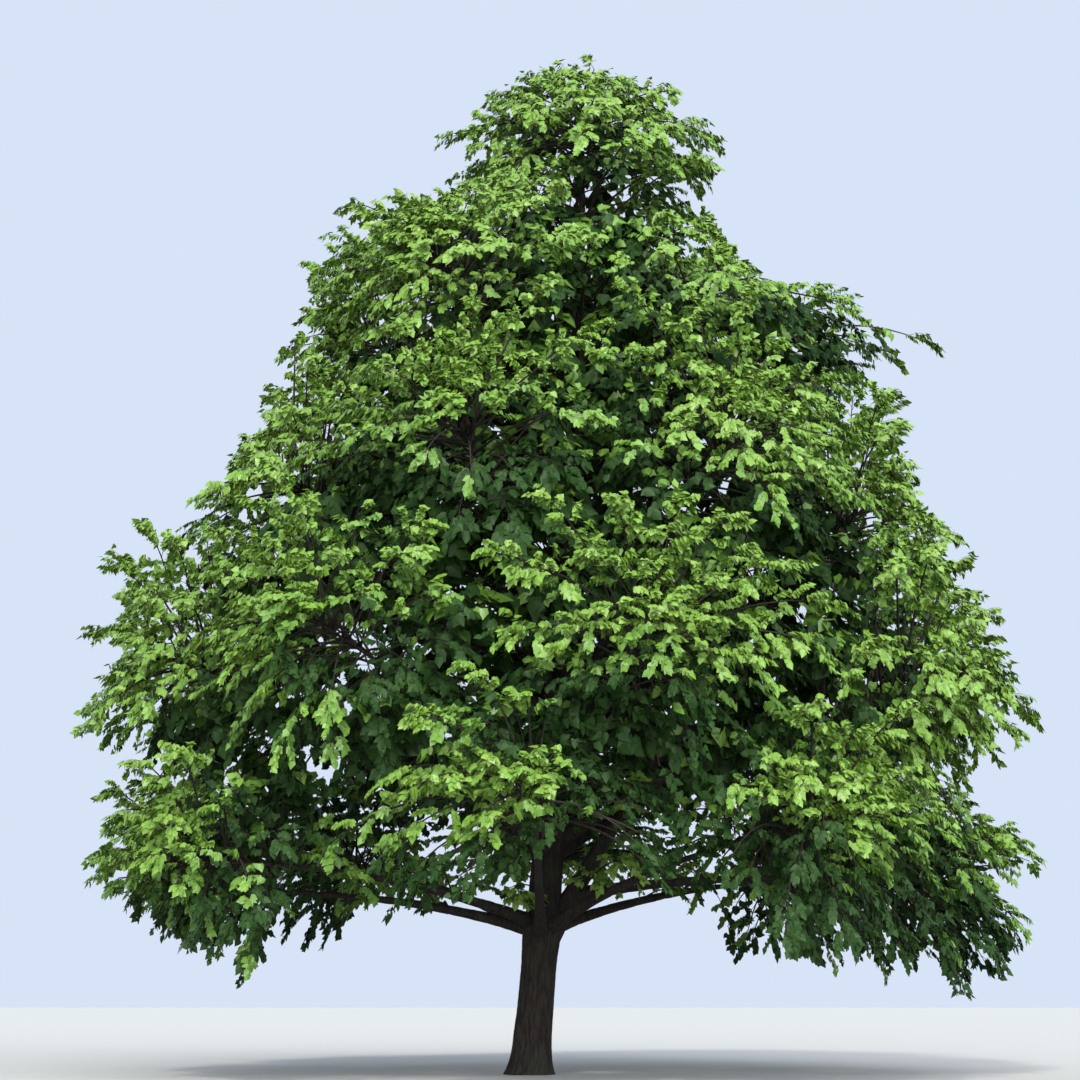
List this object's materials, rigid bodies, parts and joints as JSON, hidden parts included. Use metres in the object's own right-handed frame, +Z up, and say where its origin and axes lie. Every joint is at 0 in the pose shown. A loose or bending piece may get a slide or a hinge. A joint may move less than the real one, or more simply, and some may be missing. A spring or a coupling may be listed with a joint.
{
  "type": "small-leaved linden tree",
  "caption": "Full-grown small-leaved linden with one leaning trunk, low boughs and a broad pointed dome of dense summer foliage, for planting in a scene at ground level.",
  "frame": {"origin": "middle of the flat cut under the trunk, at ground level", "axes": "+Z up along the trunk, +X to the right and -Y towards the viewer as seen in the picture"},
  "size_m": [11.2886, 10.9478, 11.955],
  "materials": {
    "bark": "rough fissured bark",
    "leaves": "satin leaf"
  },
  "bodies": {
    "root": {"bough_low_1": "bark", "bough_low_2": "bark", "bough_low_3": "bark", "bough_low_4": "bark", "bough_low_5": "bark", "bough_low_6": "bark", "bough_low_7": "bark", "bough_low_8": "bark", "bough_lowest_1": "bark", "bough_lowest_2": "bark", "bough_lowest_3": "bark", "bough_lowest_4": "bark", "bough_lowest_5": "bark", "bough_lowest_6": "bark", "bough_lowest_7": "bark", "bough_lowest_8": "bark", "bough_middle_1": "bark", "bough_middle_2": "bark", "bough_middle_3": "bark", "bough_middle_4": "bark", "bough_middle_5": "bark", "bough_middle_6": "bark", "bough_middle_7": "bark", "bough_upper_1": "bark", "bough_upper_2": "bark", "bough_upper_3": "bark", "bough_upper_4": "bark", "bough_upper_5": "bark", "leaves_low_1": "leaves", "leaves_low_2": "leaves", "leaves_low_3": "leaves", "leaves_low_4": "leaves", "leaves_low_5": "leaves", "leaves_low_6": "leaves", "leaves_low_7": "leaves", "leaves_low_8": "leaves", "leaves_lowest_1": "leaves", "leaves_lowest_2": "leaves", "leaves_lowest_3": "leaves", "leaves_lowest_4": "leaves", "leaves_lowest_5": "leaves", "leaves_lowest_6": "leaves", "leaves_lowest_7": "leaves", "leaves_lowest_8": "leaves", "leaves_middle_1": "leaves", "leaves_middle_2": "leaves", "leaves_middle_3": "leaves", "leaves_middle_4": "leaves", "leaves_middle_5": "leaves", "leaves_middle_6": "leaves", "leaves_middle_7": "leaves", "leaves_top": "leaves", "leaves_upper_1": "leaves", "leaves_upper_2": "leaves", "leaves_upper_3": "leaves", "leaves_upper_4": "leaves", "leaves_upper_5": "leaves", "trunk": "bark"}
  },
  "joints": []
}
